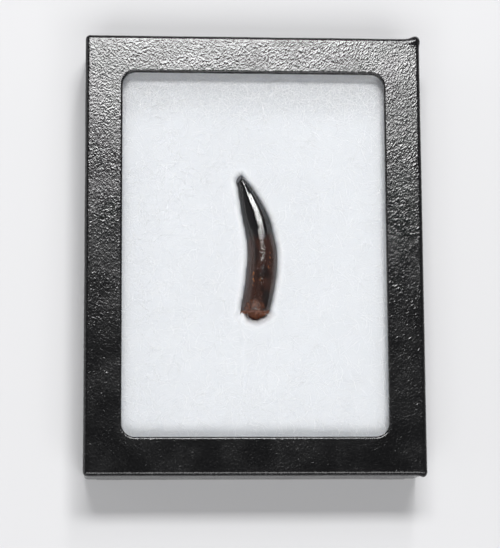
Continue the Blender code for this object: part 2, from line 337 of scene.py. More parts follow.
class StageSettings(bpy.types.PropertyGroup):
    """Floor and lights."""

    floor: shade("Floor", "Pale floor", (0.62, 0.62, 0.63))
    key_power: amount("Key", "Power of the soft box above the case", 4.7)
    key_tilt: FloatProperty(
        name="Key tilt",
        description="Angle of the soft box from upright",
        default=math.radians(23.5),
        subtype="ANGLE",
    )
    key_distance: length("Key distance", "Distance of the soft box", 0.8)
    key_width: length("Key width", "Soft box across", 0.36)
    key_height: length("Key height", "Soft box along", 0.125)
    upper_power: amount("Upper", "Power of the small box behind the key", 1.25)
    side_power: amount("Side", "Power of the panel on the left", 1.2)
    front_power: amount("Front", "Power of the panel below the case", 4.8)
    sky: amount("Sky", "Brightness of the room near the horizon", 0.20)


class DisplayCaseSettings(bpy.types.PropertyGroup):
    """Everything that a user would change on the display case."""

    lid: PointerProperty(type=LidSizes)
    paper: PointerProperty(type=PaperFinish)
    batting: PointerProperty(type=BattingSizes)
    tooth: PointerProperty(type=ToothFinish)
    stage: PointerProperty(type=StageSettings)


def add_node(tree, kind, sockets=None, **settings):
    """A node in a tree: its settings are made first, then its sockets filled with numbers or linked."""
    node = tree.nodes.new(kind)
    for setting, value in settings.items():
        setattr(node, setting, value)
    for socket, value in (sockets or {}).items():
        if isinstance(value, bpy.types.NodeSocket):
            tree.links.new(value, node.inputs[socket])
        else:
            node.inputs[socket].default_value = value
    return node


def arithmetic(operation, swapped=False):
    """A method that adds a Math node for a value and another term."""

    def combine(value, other):
        terms = (other, value) if swapped else (value, other)
        return value.finish.maths(operation, *terms)

    return combine


class Value:
    """One socket of a finish, so that sums on it read as plain arithmetic."""

    def __init__(self, finish, socket):
        self.finish = finish
        self.socket = socket

    __add__ = arithmetic("ADD")
    __radd__ = arithmetic("ADD", swapped=True)
    __sub__ = arithmetic("SUBTRACT")
    __rsub__ = arithmetic("SUBTRACT", swapped=True)
    __mul__ = arithmetic("MULTIPLY")
    __rmul__ = arithmetic("MULTIPLY", swapped=True)

    def __abs__(self):
        return self.finish.maths("ABSOLUTE", self)

    def ramp(self, low, high):
        """0 at low, 1 at high, with a smooth slope between them."""
        sockets = {0: self, 1: low, 2: high, 3: 0.0, 4: 1.0}
        return self.finish.node("ShaderNodeMapRange", sockets, interpolation_type="SMOOTHSTEP")


class Finish:
    """A material, its shader, and the nodes that feed it."""

    def __init__(self, name, **steady):
        self.material = bpy.data.materials.new(name)
        self.material.use_nodes = True
        self.tree = self.material.node_tree
        self.shader = self.tree.nodes["Principled BSDF"]
        for socket, value in steady.items():
            self.shader.inputs[socket.replace("_", " ")].default_value = value

    def node(self, kind, sockets=None, output=0, **settings):
        """One output of a new node, whose sockets take values or numbers."""
        filled = {name: getattr(value, "socket", value) for name, value in (sockets or {}).items()}
        return Value(self, add_node(self.tree, kind, filled, **settings).outputs[output])

    def maths(self, operation, *terms):
        """A sum, difference or product of sockets and numbers."""
        return self.node("ShaderNodeMath", dict(enumerate(terms)), operation=operation)

    def vector(self, operation, *terms):
        """The same for vectors."""
        return self.node("ShaderNodeVectorMath", dict(enumerate(terms)), operation=operation)

    def place(self):
        """Where a point is on its object, in metres."""
        return self.node("ShaderNodeTexCoord", output="Object")

    def attribute(self, name):
        """A number that the mesh carries at each point."""
        return self.node("ShaderNodeAttribute", output="Fac", attribute_name=name)

    def stretched(self, place, lengths, turn=0.0):
        """Draws noise out to these lengths along axes that are turned about Z."""
        sockets = {"Vector": place, "Rotation": (0.0, 0.0, turn), "Scale": lengths}
        return self.node("ShaderNodeMapping", sockets, vector_type="TEXTURE")

    def clouds(self, place, size, detail=2.0, rough=0.5, output="Fac"):
        """Soft noise of a real size; its value lies about one half."""
        sockets = {"Vector": place, "Scale": 1 / size, "Detail": detail, "Roughness": rough}
        return self.node("ShaderNodeTexNoise", sockets, output)

    def drawn_clouds(self, place, size, drawn, turn=0.0, **more):
        """Clouds drawn out along Y, or along a Y that is turned about Z."""
        return self.clouds(self.stretched(place, (1.0, drawn, 1.0), turn), size, **more)

    def creases(self, place, size):
        """Distance to the nearest border between cells of a real size: 0 on the border."""
        sockets = {"Vector": place, "Scale": 1 / size}
        return self.node("ShaderNodeTexVoronoi", sockets, feature="DISTANCE_TO_EDGE")

    def bent(self, place, size, reach):
        """The place pushed about by noise of that size, by up to that reach."""
        push = self.vector("SUBTRACT", self.clouds(place, size, output="Color"), (0.5, 0.5, 0.5))
        return self.vector("ADD", place, self.vector("MULTIPLY", push, (2 * reach,) * 3))

    def mix(self, share, first, second):
        """A blend of two colours."""
        sockets = {0: share, 6: first, 7: second}
        return self.node("ShaderNodeMix", sockets, output=2, data_type="RGBA")

    def bump(self, height, depth):
        """Relief in the way the surface faces."""
        return self.node("ShaderNodeBump", {"Height": height, "Distance": depth})

    def feed(self, socket, value):
        """Links a value to one input of the shader."""
        self.tree.links.new(value.socket, self.shader.inputs[socket])

    def let_light_through(self):
        """Passes every ray that isn't the eye's own straight on, as a clear pane does."""
        clear = self.node("ShaderNodeBsdfTransparent")
        shown = Value(self, self.shader.outputs[0])
        for ray in ("Is Diffuse Ray", "Is Glossy Ray", "Is Shadow Ray"):
            share = self.node("ShaderNodeLightPath", output=ray)
            shown = self.node("ShaderNodeMixShader", {0: share, 1: shown, 2: clear})
        self.tree.links.new(shown.socket, self.tree.nodes["Material Output"].inputs["Surface"])


def colour(values):
    """Red, green and blue as the opaque colour that a socket takes."""
    return (*values, 1.0)


def scaled(share, values):
    """A colour made paler or darker."""
    return colour(share * value for value in values)


def grained_paper(name, paper, coarse=1.0, dull=0.0):
    """Black paper embossed with a wrinkled leather grain under a thin varnish."""
    finish = Finish(name, IOR=1.52)
    place = finish.place()
    bent = finish.bent(place, 1.3 * MM * coarse, 0.25 * MM)

    def streak(size, drawn, turn):
        return abs(finish.drawn_clouds(bent, size * coarse, drawn, turn, detail=1.0, rough=0.35) - 0.5)

    right = finish.attribute("right")
    streaks = streak(*GRAIN_RISING) * (1.2 + 0.3 * right) + streak(*GRAIN_FALLING) * (1.0 - 0.3 * right)
    pebbles = finish.creases(bent, paper.grain * coarse).ramp(0.0, 0.6)
    fine = finish.clouds(place, 0.20 * MM, detail=1.0)
    patch = finish.clouds(place, 7.0 * MM, detail=1.0).ramp(0.35, 0.65)
    height = pebbles * GRAIN_PEBBLES + streaks * GRAIN_STREAKS + fine * GRAIN_FINE
    worn = finish.attribute("worn") * finish.clouds(place, 0.7 * MM, detail=3.0).ramp(0.52, 0.72)
    finish.feed("Base Color", finish.mix(worn, colour(paper.colour), colour(paper.worn)))
    finish.feed("Roughness", paper.roughness + dull + 0.06 * (1 - pebbles) + 0.05 * (patch - 0.5))
    finish.feed("Normal", finish.bump(height, paper.depth))
    return finish.material


def clear_pane():
    """Window glass with a trace of green."""
    finish = Finish("clear_glass", Transmission_Weight=1.0, IOR=1.5)
    finish.shader.inputs["Base Color"].default_value = (0.985, 0.995, 0.99, 1.0)
    finish.shader.inputs["Roughness"].default_value = 0.0
    finish.let_light_through()
    return finish.material


def white_batting(batting):
    """White polyester: light soaks in and comes out near by. Its colour carries painted shade below the upper
    edge and painted light at that edge and beside the tooth.
    """
    finish = Finish("white_batting", Subsurface_Weight=0.75, Subsurface_Scale=1.0, IOR=1.45)
    finish.shader.inputs["Subsurface Radius"].default_value = (3.6 * MM, 3.7 * MM, 3.9 * MM)
    place = finish.place()
    cloudy = finish.clouds(place, 5.0 * MM, detail=3.0)
    white = finish.mix(cloudy, scaled(CLOUDY_SHADE, batting.colour), colour(batting.colour))
    # Painted shade: the 'thin' attribute greys the pad in a band below the upper edge
    white = finish.mix(finish.attribute("thin"), white, scaled(PAINTED_SHADE_SCALE, batting.colour))
    # Painted light: whiter at the upper edge and beside the tooth, to lighten the shade that falls there
    white = finish.mix(finish.attribute("painted_light"), white, scaled(PAINTED_LIGHT_SCALE, batting.colour))
    finish.feed("Base Color", white)
    finish.feed("Roughness", 0.85 + 0.1 * cloudy)
    combed = finish.stretched(place, (1.0, 4.0, 1.0), math.radians(35))
    crossed = finish.stretched(place, (4.0, 1.0, 1.0), math.radians(20))
    strands = abs(finish.clouds(combed, 0.35 * MM) - 0.5) + abs(finish.clouds(crossed, 0.4 * MM) - 0.5)
    finish.feed("Normal", finish.bump(strands, 0.08 * MM))
    return finish.material


def fibres_painted_whiter():
    """Loose polyester fibres, painted a shade whiter than the pad so that they look lit, not shaded, over it.
    """
    finish = Finish("white_batting_fibres", Roughness=0.6, IOR=1.45)
    finish.shader.inputs["Base Color"].default_value = (0.97, 0.975, 0.985, 1.0)
    return finish.material


def fossil_tooth(tooth):
    """Glossy black enamel over a stained brown root, with a rusty broken end."""
    finish = Finish("fossil_tooth", IOR=1.58)
    place = finish.place()
    lengthwise = finish.drawn_clouds(place, STREAK_SIZE, 7.0, detail=3.0)
    patches = finish.drawn_clouds(place, PATCH_SIZE, 2.0, detail=4.0, rough=0.6)
    flecks = finish.drawn_clouds(place, FLECK_SIZE, 2.2, detail=3.0, rough=0.6)
    pits = finish.clouds(place, PIT_SIZE, detail=2.0, rough=0.5)
    covered = finish.attribute("enamel")
    broken = finish.attribute("broken")
    chip = finish.attribute("chip")
    neck = 4.0 * covered * (1 - covered)

    enamel = (covered + (patches - 0.5) * 1.3 + (flecks - 0.5) * 1.5).ramp(0.20, 0.80)
    dark = finish.attribute("dark") * 0.75 + (patches - 0.44) * 1.6 + (flecks - 0.5) * 1.2
    amber = finish.attribute("amber") * (0.55 + (flecks - 0.5) * 3.0) + (flecks - 0.64) * 1.5
    amber = amber.ramp(0.10, 0.75)
    rust = (finish.attribute("rust") + (patches - 0.5) * 1.2 + (flecks - 0.5) * 0.8).ramp(0.40, 0.75)
    crust = finish.mix(flecks.ramp(0.42, 0.60), colour(tooth.broken), colour(tooth.root))
    # Painted light: the hollow's brown made paler in flecks, to lighten the shade inside it
    hollow = finish.mix(flecks.ramp(0.36, 0.66), scaled(HOLLOW_PAINTED_LIGHT, tooth.broken), colour(tooth.broken))

    skin = finish.mix(dark.ramp(0.1, 0.7), colour(tooth.root), colour(tooth.dark))
    skin = finish.mix(amber, skin, colour(tooth.amber))
    skin = finish.mix(rust, skin, crust)
    skin = finish.mix(broken, skin, hollow)
    skin = finish.mix(enamel, skin, colour(tooth.enamel))
    finish.feed("Base Color", finish.mix(chip, skin, colour(CHIP_COLOUR)))

    bare = 1 - enamel
    glossy = 0.05 + 0.05 * lengthwise
    plain = 0.13 - 0.05 * neck + 0.15 * (pits - 0.5) + 0.12 * amber + 0.16 * rust
    finish.feed("Roughness", enamel * glossy + bare * plain + 0.2 * broken + 0.35 * chip)
    pitted = 0.40 + 3.2 * (1 - covered) + 2.2 * neck
    finish.feed("Normal", finish.bump(lengthwise * (0.25 + 0.50 * bare) + pits * pitted, SURFACE_DEPTH))
    return finish.material


def plain_floor(stage):
    """Pale and dull."""
    finish = Finish("pale_floor", Roughness=0.8)
    finish.shader.inputs["Base Color"].default_value = colour(stage.floor)
    return finish.material


def piece_of(name, points, faces, material, slot, **attributes):
    """A smooth mesh object in the row frame that rides on the case."""
    mesh = bpy.data.meshes.new(name)
    mesh.from_pydata(points, [], faces)
    mesh.shade_smooth()
    for attribute, values in attributes.items():
        layer = mesh.attributes.new(attribute, "FLOAT", "POINT")
        layer.data.foreach_set("value", np.asarray(values, np.float32).ravel())
    mesh.materials.append(material)
    piece = bpy.data.objects.new(name, mesh)
    bpy.context.scene.collection.objects.link(piece)
    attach(piece, BODY)
    return piece


def grid_faces(rows, columns, rows_closed, columns_closed, first=0):
    """Quads between neighbours on a grid of points that are numbered row by row."""
    lower = np.arange(rows if rows_closed else rows - 1)
    across = np.arange(columns if columns_closed else columns - 1)
    row, column = (values.ravel() for values in np.meshgrid(lower, across, indexing="ij"))
    next_row, next_column = (row + 1) % rows, (column + 1) % columns
    corners = ((row, column), (row, next_column), (next_row, next_column), (next_row, column))
    return first + np.stack([r * columns + c for r, c in corners], axis=1)


def unit(vectors):
    """Vectors of length 1 that point the same way."""
    return vectors / np.maximum(np.linalg.norm(vectors, axis=-1, keepdims=True), 1e-12)


def grid_normals(points, rows_closed, columns_closed):
    """The way that a grid of points faces at each of them."""

    def slope(axis, closed):
        if closed:
            return np.roll(points, -1, axis) - np.roll(points, 1, axis)
        return np.gradient(points, axis=axis)

    return unit(np.cross(slope(1, columns_closed), slope(0, rows_closed)))


def rough_at(points, size, offset=(0.0, 0.0, 0.0)):
    """Smooth noise from about -1 to 1 at each point, with bumps of that size in metres per axis."""
    places = (np.asarray(points).reshape(-1, 3) + np.asarray(offset)) / np.asarray(size)
    values = [noise.noise(Vector(place)) for place in places]
    return np.array(values).reshape(np.asarray(points).shape[:-1])


def smooth_step(value, low, high):
    """0 at low, 1 at high, with a smooth slope between them."""
    share = np.clip((value - low) / (high - low), 0.0, 1.0)
    return share * share * (3 - 2 * share)


def bell_at(points, centre, radius):
    """1 at a centre point, falling smoothly to nothing all round."""
    away = np.linalg.norm(points - np.asarray(centre), axis=-1)
    return np.exp(-((away / radius) ** 2))


def sweep_corner(half, window_half, lid, steps, arc_steps):
    """Stations round the +X +Y corner, from side to top: places and facings of case, inner wall, window."""
    inner_half = half - lid.board
    inner_corner = 0.3 * MM
    start = window_half - lid.window_corner
    straight = np.linspace(0, 1, steps)[:, None]
    turn = np.linspace(0, math.pi / 2, arc_steps)[1:-1]
    arc = np.stack([np.cos(turn), np.sin(turn)], axis=1)

    def path(reach, radius):
        side = np.array([[reach[0], start[1]], [reach[0], reach[1] - radius]])
        top = np.array([[reach[0] - radius, reach[1]], [start[0], reach[1]]])
        rounding = reach - radius + radius * arc
        return np.concatenate(
            [side[0] + (side[1] - side[0]) * straight, rounding, top[0] + (top[1] - top[0]) * straight]
        )

    facing = np.concatenate([np.tile((1.0, 0.0), (steps, 1)), arc, np.tile((0.0, 1.0), (steps, 1))])
    angle = np.linspace(0, math.pi / 2, len(facing))
    window_facing = np.stack([np.cos(angle), np.sin(angle)], axis=1)
    window = start + lid.window_corner * window_facing
    case, inner = path(half, lid.corner), path(inner_half, inner_corner)
    return np.stack([case, facing, inner, facing, window, window_facing])


def sweep_stations(lid):
    """Stations all round the lid, anticlockwise: case, inner wall and window, each with the way it faces."""
    half = np.array(LID_HIGH[:2])
    window_half = np.array([lid.window_width, lid.window_length]) / 2
    corner = sweep_corner(half, window_half, lid, steps=27, arc_steps=11)
    corners = []
    for signs, turned in (((1, 1), False), ((-1, 1), True), ((-1, -1), False), ((1, -1), True)):
        mirrored = corner * np.array(signs)
        corners.append(mirrored[:, ::-1] if turned else mirrored)
    stations = []
    spacing = 0.42 * MM
    for here, after in zip(corners, corners[1:] + corners[:1]):
        gap = np.linalg.norm(after[0, 0] - here[0, -1])
        shares = np.linspace(0, 1, int(gap / spacing) + 1)[1:-1]
        between = here[:, -1:] + (after[:, :1] - here[:, -1:]) * shares[None, :, None]
        stations += [here, between]
    return np.concatenate(stations, axis=1)


def lid_section(lid, stations):
    """Rows of points round the lid's section, how fully the relief shows on each, and how rubbed it is."""
    case, case_facing, inner, inner_facing, window, window_facing = stations
    top = LID_HIGH[OUT]
    rim = LID_LOW[OUT]
    under = top - lid.board
    rows, relief, worn = [], [], []

    def add(plan, height, shown=0.0, rubbed=0.0):
        rows.append(np.column_stack([plan, np.full(len(plan), height)]))
        relief.append(shown)
        worn.append(rubbed)

    def nowhere(angle):
        return 0.0

    def fully(angle):
        return 1.0

    def growing(angle):
        return angle / (0.5 * math.pi)

    def halfway(angle):
        return math.sin(2 * angle)

    def bend(edge, inward, level, rise, steps, shown=nowhere, rubbed=nowhere, leaving=False):
        """A quarter round that comes from the face at this level to the edge, or leaves the edge for it."""
        for step in range(steps + 1):
            angle = 0.5 * math.pi * step / steps
            in_plan, in_height = 1 - math.sin(angle), 1 - math.cos(angle)
            if leaving:
                in_plan, in_height = in_height, in_plan
            add(edge + inward * in_plan, level + rise * in_height, shown(angle), rubbed(angle))

    window_fold = window_facing * lid.fold
    bend(window, window_fold, under, lid.fold, 4)
    bend(window, window_fold, top, -lid.fold, 6, growing, growing, leaving=True)
    start = window + window_fold
    end = case - case_facing * lid.roll
    for share in np.linspace(0, 1, 38)[1:-1]:
        add(start + (end - start) * share, top, 1.0)
    bend(case, -case_facing * lid.roll, top, -lid.roll, 8, fully, halfway)
    for height in np.linspace(top - lid.roll, rim + lid.fold, 29)[1:-1]:
        add(case, height, 1.0)
    bend(case, -case_facing * lid.fold, rim, lid.fold, 4, math.cos, fully, leaving=True)
    bend(inner, inner_facing * lid.fold, rim, lid.fold, 3)
    for height in np.linspace(rim + lid.fold, under, 5)[1:]:
        add(inner, height)
    for share in (0.33, 0.66):
        add(inner + (start - inner) * share, under)
    return np.array(rows), np.array(relief), np.array(worn)


def folded_corner(points, height, radius, past_edge, below_top, end):
    """The lump of folded paper at a right-hand corner, at the upper end (1) or the lower end (-1)."""
    across, up, top = LID_HIGH
    return height * bell_at(points, (across - CORNER_INSET, end * (up + past_edge), top - below_top), radius)


def paper_laps(points, lid):
    """How far the short walls lie back where no flap of paper laps over them."""
    x, y, z = points[..., 0], points[..., 1], points[..., 2]
    across, up, top = LID_HIGH
    short_wall = smooth_step(np.abs(y), up - 0.35 * MM, up - 0.05 * MM)
    lower = smooth_step(z, top - 1.0 * MM, top - 2.2 * MM)
    flap_edge = across - (1.5 * MM + 0.09 * (top - z))
    flap = smooth_step(flap_edge - np.abs(x), -0.12 * MM, 0.12 * MM)
    tuck = smooth_step(np.abs(x), across - 9.4 * MM, across - 8.8 * MM)
    return lid.flap_step * short_wall * lower * (flap + 0.55 * tuck * flap - 1.0)


def lid_relief(points, lid):
    """How far the paper stands proud at each point: waves of the board, wrinkles, laps and folded corners."""
    x, y = points[..., 0], points[..., 1]
    waves = lid.waviness * rough_at(points, WAVE_SIZE)
    creased = -0.5
    for size, turn, offset in WRINKLE_SLANTS:
        turned = points @ np.array(Matrix.Rotation(turn, 3, "Z"))
        creased = creased + np.abs(rough_at(turned, size, offset))
    middle = 1 - smooth_step(np.abs(y - 6 * MM), 8 * MM, 26 * MM)
    wrinkles = lid.wrinkle * (0.7 + 0.5 * smooth_step(x, 20 * MM, 41 * MM) * middle) * creased
    corners = folded_corner(points, end=1, **UPPER_LUMP) + folded_corner(points, end=-1, **LOWER_LUMP)
    return waves + wrinkles + paper_laps(points, lid) + corners


class DISPLAYCASE_OT_covered_lid(bpy.types.Operator):
    """Make the paper-covered lid with its window"""

    bl_idname = "display_case.covered_lid"
    bl_label = "Covered Lid"

    def execute(self, context):
        settings = context.scene.display_case
        lid = settings.lid
        stations = sweep_stations(lid)
        points, relief, worn = lid_section(lid, stations)
        facing = -grid_normals(points, rows_closed=True, columns_closed=True)
        points = points + facing * (lid_relief(points, lid) * relief[:, None])[..., None]
        rows, columns = points.shape[:2]
        layers = {
            "worn": np.repeat(worn[:, None], columns, axis=1),
            "right": smooth_step(points[..., 0], -12 * MM, 12 * MM),
        }
        material = grained_paper("black_grained_paper", settings.paper)
        # The corners of each face the other way round, so that it looks outwards
        faces = grid_faces(rows, columns, True, True)[:, [0, 3, 2, 1]].tolist()
        points = points.reshape(-1, 3)
        piece = piece_of("covered_lid", points, faces, material, "black_grained_paper", **layers)
        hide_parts("lid")
        return {"FINISHED"}


class DISPLAYCASE_OT_tray_and_pane(bpy.types.Operator):
    """Finish the tray in black paper and the pane in clear glass"""

    bl_idname = "display_case.tray_and_pane"
    bl_label = "Tray and Pane"

    def execute(self, context):
        paper = context.scene.display_case.paper
        plain = grained_paper("black_plain_paper", paper, TRAY_GRAIN, TRAY_DULLNESS)
        finishes = {"base_tray": plain, "glass": clear_pane()}
        for name, material in finishes.items():
            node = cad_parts[name]
            node.data.materials.clear()
            node.data.materials.append(material)
        return {"FINISHED"}


def station_values(along):
    """The tooth's left edge, right edge and half thickness at places along Y, on a smooth curve."""
    table = np.array(TOOTH_STATIONS) * MM
    places, values = table[:, 0], table[:, 1:]
    slopes = np.gradient(values, places, axis=0)
    along = np.atleast_1d(along)
    step = np.clip((places[None, :] >= along[:, None]).sum(axis=1) - 1, 0, len(places) - 2)
    span = (places[step + 1] - places[step])[:, None]
    share = (along[:, None] - places[step][:, None]) / span
    start, end = values[step], values[step + 1]
    leave, arrive = slopes[step] * span, slopes[step + 1] * span
    ease = share * share * (3 - 2 * share)
    bent = leave * share * (1 - share) ** 2 - arrive * share * share * (1 - share)
    return start + (end - start) * ease + bent


def tooth_section(along):
    """Centre, height, half width and half thickness of the tooth at places along Y."""
    left, right, thickness = station_values(along).T
    drop = TIP_DROP * ((np.atleast_1d(along) - TOOTH_ROOT) / (TOOTH_TIP - TOOTH_ROOT)) ** 3
    return (left + right) / 2, TOOTH_AXIS_HEIGHT - drop, (right - left) / 2, thickness


def bell(angle, centre, half_width):
    """1 at the centre angle, falling smoothly to nothing on both sides."""
    apart = (angle - centre + math.pi) % (2 * math.pi) - math.pi
    return np.exp(-((apart / half_width) ** 2))


def crown_share(along, angle):
    """1 on the enamel and 0 on the root, with a long slanting change between them."""
    edge = ENAMEL_EDGE + ENAMEL_EDGE_SLANT * np.cos(angle)
    return smooth_step((along - edge) / ENAMEL_EDGE_LENGTH + 0.5, 0.0, 1.0)


def break_edge(angle):
    """How far the broken rim reaches past the last station: more underneath, ragged, with spur and notch."""
    slant = -BREAK_SLANT * np.sin(angle)
    sides = -BREAK_SIDES * np.abs(np.cos(angle)) ** 3
    wave = sum(share * np.sin(waves * angle + phase) for waves, phase, share in BREAK_WAVES)
    spur = SPUR_LENGTH * bell(angle, math.pi, SPUR_HALF_ANGLE)
    notch = -NOTCH_DEPTH * bell(angle, NOTCH_ANGLE, NOTCH_HALF_ANGLE)
    return BREAK_REACH + slant + sides + BREAK_RAGGED * wave + spur + notch


def tooth_sides(along, angle):
    """Points round the tooth and how much enamel covers each, for columns of places and rows of angles."""
    middle, height, half_width, half_thickness = (values[:, None] for values in tooth_section(along[:, 0]))
    crown = crown_share(along, angle)
    faces = sum(height * bell(angle, centre, spread) for centre, spread, height in CROWN_FACES)
    fade = np.minimum(half_width / KEEL_START, 1.0)
    proud = fade * crown * faces - (1 - crown) * ENAMEL_STEP
    x = middle + (half_width + proud) * np.cos(angle)
    z = height + (half_thickness + proud) * np.sin(angle)
    return np.stack([x, np.broadcast_to(along, x.shape), z], axis=-1), crown


def stains(points, strokes):
    """How strongly a set of strokes marks each point, seen from above."""
    total = np.zeros(points.shape[:-1])
    for across, along, half_width, half_length, strength in strokes:
        sideways = (points[..., 0] / MM - across) / half_width
        lengthwise = (points[..., 1] / MM - along) / half_length
        total = np.maximum(total, strength * np.exp(-(sideways**2 + lengthwise**2)))
    return total * (points[..., 2] > TOOTH_AXIS_HEIGHT)


def broken_end(angle, count):
    """Rings from the last whole section round the rim and into the hollow, and how broken each point is."""
    middle, height, _, _ = (float(values[0]) for values in tooth_section(TOOTH_ROOT))
    outer, _ = tooth_sides(np.full((1, 1), TOOTH_ROOT), angle)
    steps = np.array(BREAK_STEPS)
    travel = np.linspace(0, len(steps) - 1, count)[1:, None]
    share, size, sunk = (np.interp(travel, np.arange(len(steps)), steps[:, i]) for i in range(3))
    reach = break_edge(angle) * share - HOLLOW_DEPTH * sunk
    wide = size + SPUR_FLARE * share * bell(angle, math.pi, SPUR_HALF_ANGLE)
    x = middle + (outer[..., 0] - middle) * wide
    z = height + (outer[..., 2] - height) * wide
    inside = smooth_step(np.broadcast_to(size, x.shape), 0.965, 0.90)
    return np.stack([x, TOOTH_ROOT - reach, z], axis=-1), inside


def tooth_relief(points, enamel, broken, tooth):
    """How far the surface stands proud: fine furrows, shallow dents, and crumbs where it is broken."""
    furrows = np.abs(rough_at(points, FURROW_SIZE))
    dents = rough_at(points, DENT_SIZE)
    crumbs = rough_at(points, CRUMB_SIZE) + 0.6 * rough_at(points, FINE_CRUMB_SIZE)
    relief = -tooth.striae * furrows * (1.6 - 1.25 * enamel) + DENT_HEIGHT * dents * (1.2 - 0.5 * enamel)
    return relief + CRUMB_HEIGHT * crumbs * broken


def closed_tube(rows, columns):
    """Faces of a tube on a grid of points, closed by two more points, one at each end."""
    faces = grid_faces(rows, columns, False, True).tolist()
    first_end, last_end = rows * columns, rows * columns + 1
    last = (rows - 1) * columns
    faces += [[(i + 1) % columns, i, first_end] for i in range(columns)]
    faces += [[last + i, last + (i + 1) % columns, last_end] for i in range(columns)]
    return faces


class DISPLAYCASE_OT_fossil_tooth(bpy.types.Operator):
    """Make the fossil tooth with its enamel, stained root, chipped tip and broken end"""

    bl_idname = "display_case.fossil_tooth"
    bl_label = "Fossil Tooth"

    def execute(self, context):
        tooth = context.scene.display_case.tooth
        angle = np.linspace(0, 2 * math.pi, tooth.sides, endpoint=False)[None, :]
        shares = np.linspace(0, 1, tooth.rings) ** TIP_CROWDING
        along = (TOOTH_TIP + (TOOTH_ROOT - TOOTH_TIP) * shares)[:, None]
        sides, crown = tooth_sides(along, angle)
        end, inside = broken_end(angle, 40)
        points = np.concatenate([sides, end])
        enamel = np.concatenate([crown, np.zeros_like(inside)])
        broken = np.concatenate([np.zeros_like(crown), inside])
        facing = grid_normals(points, rows_closed=False, columns_closed=True)
        narrow = np.minimum(tooth_section(along[:, 0])[2] / (1.5 * MM), 1.0)
        fade = np.concatenate([narrow, np.ones(len(end))])[:, None]
        points = points + facing * (tooth_relief(points, enamel, broken, tooth) * fade)[..., None]
        chip_facing = unit(np.array(CHIP_FACING))
        over = (points - np.array(CHIP_POINT)) @ chip_facing
        points = points - np.maximum(over, 0.0)[..., None] * chip_facing
        tip = points[0].mean(axis=0) + np.array([0.0, 0.04 * MM, 0.0])
        flat = np.concatenate([points.reshape(-1, 3), [tip, points[-1].mean(axis=0)]])
        rust = smooth_step(points[..., 1], RUST_START, RUST_FULL)
        rust = rust * bell(angle, math.radians(104), math.radians(50))
        layers = {
            "enamel": (enamel, 1.0, 0.0),
            "broken": (broken, 0.0, 1.0),
            "chip": (smooth_step(over, -0.02 * MM, 0.03 * MM), 1.0, 0.0),
            "amber": (stains(points, AMBER_STAINS), 0.0, 0.0),
            "dark": (stains(points, DARK_STAINS), 0.0, 0.0),
            "rust": (np.maximum(rust, broken), 0.0, 0.0),
        }
        layers = {name: np.append(values, ends) for name, (values, *ends) in layers.items()}
        faces = closed_tube(*points.shape[:2])
        piece = piece_of("fossil_tooth", flat, faces, fossil_tooth(tooth), "fossil_tooth", **layers)
        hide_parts("tooth")
        return {"FINISHED"}


def beside_tooth(x, y):
    """How far each place is from the tooth's outline, negative inside it, and the tooth's section there."""
    end_middle, _, end_width, _ = (float(values[0]) for values in tooth_section(TOOTH_ROOT))
    under = -np.arccos(np.clip((x - end_middle) / end_width, -1.0, 1.0))
    along = np.clip(y, TOOTH_ROOT - break_edge(under), TOOTH_TIP)
    middle, height, half_width, half_thickness = (
        values.reshape(np.shape(y)) for values in tooth_section(np.maximum(along, TOOTH_ROOT).ravel())
    )
    sideways = np.abs(x - middle) - half_width
    beyond = np.abs(y - along)
    outside = np.hypot(np.maximum(sideways, 0.0), beyond)
    away = np.where((sideways < 0) & (beyond == 0), sideways, outside)
    return away, (x - middle) / half_width, height, half_thickness


def pad_top(x, y, batting):
    """The pad's top, with soft lumps, a dent round the tooth and a bed under it, and how far the tooth is."""
    half_x, half_y = PAD_HIGH[:2]
    swell = (1 - np.abs(x / half_x) ** SWELL_POWER) * (1 - np.abs(y / half_y) ** SWELL_POWER)
    away, across, height, half_thickness = beside_tooth(x, y)
    away_out = np.maximum(away, 0.0)
    crown = PANE_LOW[OUT] - PANE_GAP - batting.fuzz
    points = np.stack([x, y, np.zeros_like(x)], axis=-1)
    lumps = batting.lump * (rough_at(points, LUMP_SIZE) + 0.45 * rough_at(points, SMALL_LUMP_SIZE) - 1.0)
    dent = batting.dent * np.exp(-((away_out / batting.dent_reach) ** 2))
    top = crown - batting.edge_fall * (1 - swell) - dent
    top = top + lumps * smooth_step(away_out, 0.0, LUMP_DISTANCE)
    depth = half_thickness * np.sqrt(np.clip(1 - across**2, 0.0, 1.0))
    bed = height - depth - BED_GAP
    below_break = smooth_step(y, TOOTH_ROOT - BREAK_START, TOOTH_ROOT - BREAK_FULL)
    brink = height + BRINK_RISE - (BRINK_RISE + BREAK_HANG * depth) * below_break
    reach = BRINK_WIDTH + BREAK_WIDENING * below_break
    beside = brink + (top - brink) * smooth_step(away_out, -0.1 * MM, reach)
    return np.where(away < 0, bed, beside), away


def spaced(low, high, step):
    """Places from low to high, about one step apart."""
    return np.linspace(low, high, int(round((high - low) / step)) + 1)


